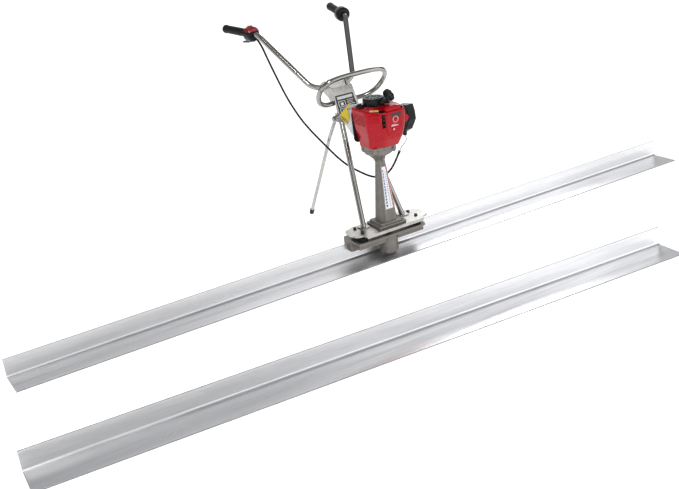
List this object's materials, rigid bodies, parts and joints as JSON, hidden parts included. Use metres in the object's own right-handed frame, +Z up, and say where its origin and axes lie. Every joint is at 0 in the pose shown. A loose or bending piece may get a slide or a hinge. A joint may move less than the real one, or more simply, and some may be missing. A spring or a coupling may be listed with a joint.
{
  "type": "power screed",
  "caption": "Walk-behind vibrating concrete screed: an L-shaped aluminium board with an engine-driven exciter, column, U handlebar, carry ring and rear stand, and a spare board.",
  "frame": {"origin": "on the underside of the screed board, straight below the axis of the exciter and the drive shaft", "axes": "+X along the board, +Y from the board towards the operator, +Z up"},
  "size_m": [3.1642, 1.5164, 0.9002],
  "materials": {
    "board_aluminium": "extruded, fine drawn lines, satin",
    "cast_grey": "sand-cast, painted warm grey, satin",
    "plate_steel": "plated sheet, satin",
    "tube_steel": "polished stainless tube",
    "bolt_black": "black oxide",
    "bearing_steel": "ground",
    "rubber_black": "moulded",
    "plastic_black": "fine moulded grain",
    "cover_red": "glossy moulded",
    "switch_red": "glossy moulded",
    "tank_white": "translucent blow-moulded",
    "engine_metal": "die-cast",
    "shaft_steel": "turned",
    "rope_fibre": "braided",
    "clamp_grey": "cast, satin",
    "wire_red": "insulated wire"
  },
  "bodies": {
    "frame": {"screed_board": "board_aluminium", "exciter_housing": "cast_grey", "exciter_cover": "cast_grey", "bearings": "bearing_steel", "frame_bolts": "bolt_black", "isolator_mounts": "rubber_black", "base_plate": "plate_steel", "column": "cast_grey", "bell_housing": "engine_metal", "crankcase": "engine_metal", "cylinder_block": "engine_metal", "cylinder_head": "engine_metal", "spark_plug": "rubber_black", "ignition_coil": "plastic_black", "engine_cover": "cover_red", "cover_panel": "cover_red", "engine_screws": "bolt_black", "rear_shell": "plastic_black", "fuel_tank": "tank_white", "top_case": "plastic_black", "recoil_housing": "plastic_black", "recoil_spring": "bearing_steel", "muffler": "bearing_steel", "carburettor": "engine_metal", "air_cleaner_case": "plastic_black", "air_cleaner_cover": "plastic_black", "frame_tube_right": "tube_steel", "frame_tube_left": "tube_steel", "weld_lugs": "plate_steel", "head_bracket": "plate_steel", "clamp_lower": "clamp_grey", "clamp_upper": "clamp_grey", "handlebar": "tube_steel", "guard_ring": "tube_steel", "hand_grips": "rubber_black", "control_collar": "plastic_black", "throttle_housing": "plastic_black", "switch_cap": "switch_red", "throttle_cable": "rubber_black", "stop_wire": "wire_red", "cable_fittings": "plastic_black"},
    "spare_board": {"spare_board": "board_aluminium"},
    "drive_train": {"eccentric_rotor": "shaft_steel", "drive_shaft": "shaft_steel", "flexible_coupling": "rubber_black", "clutch_drum": "shaft_steel"},
    "crank": {"crankshaft": "shaft_steel", "flywheel_fan": "engine_metal", "clutch_shoes": "shaft_steel"},
    "recoil": {"recoil_pulley": "plastic_black"},
    "starter_grip": {"starter_rope": "rope_fibre", "pull_grip": "plastic_black"},
    "fuel_cap": {"fuel_cap": "plastic_black"},
    "oil_cap": {"oil_cap": "plastic_black"},
    "choke": {"choke_lever": "plastic_black"},
    "throttle_arm": {"throttle_arm": "bearing_steel"},
    "trigger": {"throttle_trigger": "plastic_black"},
    "kill_switch": {"kill_switch": "switch_red"},
    "stand": {"stand_leg": "plate_steel", "stand_foot": "rubber_black"}
  },
  "joints": [
    {"name": "spare_board_lift", "type": "slide", "parent": "frame", "child": "spare_board", "axis": [0, 0, 1], "range_m": [0, 0.25]},
    {"name": "crank_spin", "type": "hinge", "parent": "frame", "child": "crank", "pos_m": [0, 0, 0.52], "axis": [0, 0, 1], "continuous": true},
    {"name": "drive_spin", "type": "hinge", "parent": "frame", "child": "drive_train", "pos_m": [0, 0, 0.2], "axis": [0, 0, 1], "continuous": true},
    {"name": "starter_pull", "type": "slide", "parent": "frame", "child": "starter_grip", "axis": [0, -1, 0], "range_m": [0, 0.5], "stiffness_N_per_m": 15, "springref_m": -0.2},
    {"name": "recoil_spin", "type": "hinge", "parent": "frame", "child": "recoil", "pos_m": [0, 0, 0.624], "axis": [0, 0, 1], "range_deg": [-1000, 0]},
    {"name": "fuel_cap_turn", "type": "hinge", "parent": "frame", "child": "fuel_cap", "pos_m": [0.093, 0.052, 0.613], "axis": [0.5176, -0.6409, 0.5669], "range_deg": [0, 360]},
    {"name": "oil_cap_turn", "type": "hinge", "parent": "frame", "child": "oil_cap", "pos_m": [-0.06, 0.006, 0.612], "axis": [0, 0, 1], "range_deg": [0, 360]},
    {"name": "choke_turn", "type": "hinge", "parent": "frame", "child": "choke", "pos_m": [0.085, 0.006, 0.568], "axis": [1, 0, 0], "range_deg": [0, 45]},
    {"name": "trigger_squeeze", "type": "hinge", "parent": "frame", "child": "trigger", "pos_m": [-0.2139, 0.53876, 0.84316], "axis": [1, 0, 0], "range_deg": [0, 10], "stiffness_Nm_per_rad": 0.6, "springref_deg": -17.19},
    {"name": "throttle_arm_turn", "type": "hinge", "parent": "frame", "child": "throttle_arm", "pos_m": [0.082, -0.034, 0.506], "axis": [1, 0, 0], "range_deg": [0, 30]},
    {"name": "kill_switch_press", "type": "slide", "parent": "frame", "child": "kill_switch", "axis": [0, 0, -1], "range_m": [0, 0.003], "stiffness_N_per_m": 400, "springref_m": -0.002},
    {"name": "stand_fold", "type": "hinge", "parent": "frame", "child": "stand", "pos_m": [-0.062, 0.197, 0.538], "axis": [1, 0, 0], "range_deg": [0, 92]}
  ],
  "couplings": [
    {"joint": "drive_spin", "follows": "crank_spin", "ratio": 1},
    {"joint": "recoil_spin", "follows": "starter_pull", "rad_per_m": -34.483},
    {"joint": "throttle_arm_turn", "follows": "trigger_squeeze", "ratio": 3}
  ]
}
